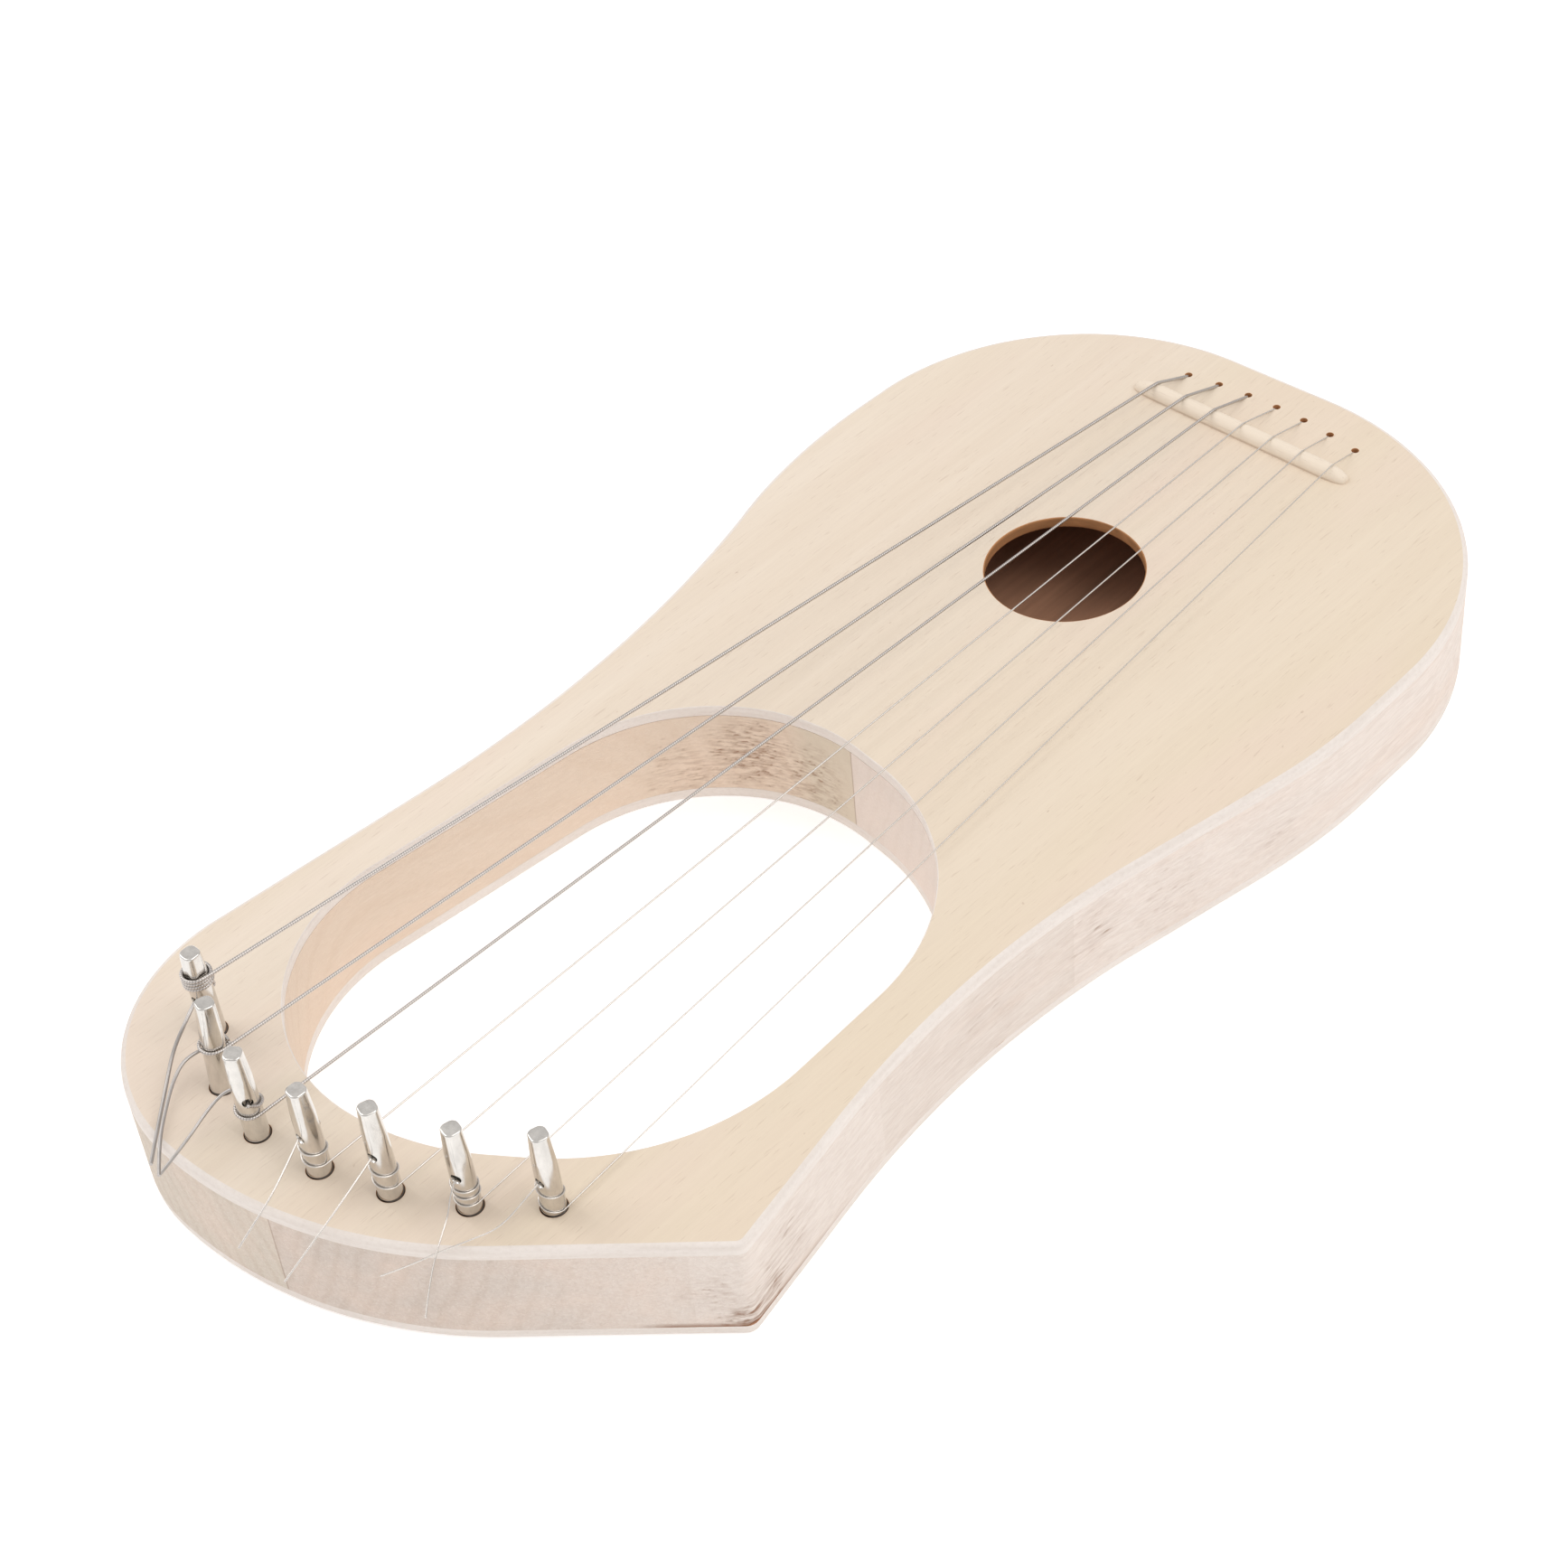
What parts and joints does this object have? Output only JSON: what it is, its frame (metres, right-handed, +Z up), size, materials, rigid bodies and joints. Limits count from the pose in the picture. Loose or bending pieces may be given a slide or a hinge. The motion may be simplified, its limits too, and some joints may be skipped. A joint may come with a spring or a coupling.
{
  "type": "plucked lyre",
  "caption": "Small flat-bodied lyre with a wooden soundboard, round sound hole, low bridge and steel strings running over an open cut-out to square-headed tuning pins.",
  "frame": {"origin": "under the middle of the body, on the surface that its back rests on", "axes": "+Z up out of the soundboard, +Y along the strings from the tuning pins to the bridge, +X across the body"},
  "size_m": [0.1624, 0.3415, 0.0528],
  "materials": {
    "board_wood": "bare sanded pale wood",
    "core_wood": "bare sawn wood, end grain at the corner",
    "bridge_wood": "bare sanded close-grained wood",
    "pin_metal": "polished nickel plating",
    "plain_wire": "bright drawn music wire",
    "wound_wire": "steel core overspun with fine wire",
    "ball_brass": "turned brass"
  },
  "bodies": {
    "root": {"soundboard": "board_wood", "back_plate": "board_wood", "bridge": "bridge_wood", "core_flank_left": "core_wood", "core_flank_right": "core_wood", "core_corner_right": "core_wood", "core_stave_right": "core_wood", "core_stave_left": "core_wood", "string_1": "wound_wire", "ball_end_1": "ball_brass", "string_2": "wound_wire", "ball_end_2": "ball_brass", "string_3": "wound_wire", "ball_end_3": "ball_brass", "string_4": "plain_wire", "ball_end_4": "ball_brass", "string_5": "plain_wire", "ball_end_5": "ball_brass", "string_6": "plain_wire", "ball_end_6": "ball_brass", "string_7": "plain_wire", "ball_end_7": "ball_brass"},
    "pin_1": {"tuning_pin_1": "pin_metal", "string_1_winding": "wound_wire", "string_1_tag": "wound_wire"},
    "pin_2": {"tuning_pin_2": "pin_metal", "string_2_winding": "wound_wire", "string_2_tag": "wound_wire"},
    "pin_3": {"tuning_pin_3": "pin_metal", "string_3_winding": "wound_wire", "string_3_tag": "wound_wire"},
    "pin_4": {"tuning_pin_4": "pin_metal", "string_4_winding": "plain_wire", "string_4_tag": "plain_wire"},
    "pin_5": {"tuning_pin_5": "pin_metal", "string_5_winding": "plain_wire", "string_5_tag": "plain_wire"},
    "pin_6": {"tuning_pin_6": "pin_metal", "string_6_winding": "plain_wire", "string_6_tag": "plain_wire"},
    "pin_7": {"tuning_pin_7": "pin_metal", "string_7_winding": "plain_wire", "string_7_tag": "plain_wire"}
  },
  "joints": [
    {"name": "tune_1", "type": "hinge", "parent": "root", "child": "pin_1", "pos_m": [-0.0452, -0.1399, 0.0276], "axis": [0, 0.0209, -0.9998], "range_deg": [-25, 15]},
    {"name": "tune_2", "type": "hinge", "parent": "root", "child": "pin_2", "pos_m": [-0.0321, -0.1485, 0.0276], "axis": [0, -0.0523, -0.9986], "range_deg": [-25, 15]},
    {"name": "tune_3", "type": "hinge", "parent": "root", "child": "pin_3", "pos_m": [-0.0171, -0.152, 0.0276], "axis": [0, 0.0209, -0.9998], "range_deg": [-25, 15]},
    {"name": "tune_4", "type": "hinge", "parent": "root", "child": "pin_4", "pos_m": [-0.0006, -0.1501, 0.0276], "axis": [0, 0.0209, -0.9998], "range_deg": [-25, 15]},
    {"name": "tune_5", "type": "hinge", "parent": "root", "child": "pin_5", "pos_m": [0.0144, -0.145, 0.0276], "axis": [0, 0.0209, -0.9998], "range_deg": [-25, 15]},
    {"name": "tune_6", "type": "hinge", "parent": "root", "child": "pin_6", "pos_m": [0.0289, -0.1375, 0.0276], "axis": [0, 0.0209, -0.9998], "range_deg": [-25, 15]},
    {"name": "tune_7", "type": "hinge", "parent": "root", "child": "pin_7", "pos_m": [0.0415, -0.1273, 0.0276], "axis": [0, 0.0209, -0.9998], "range_deg": [-25, 15]}
  ]
}
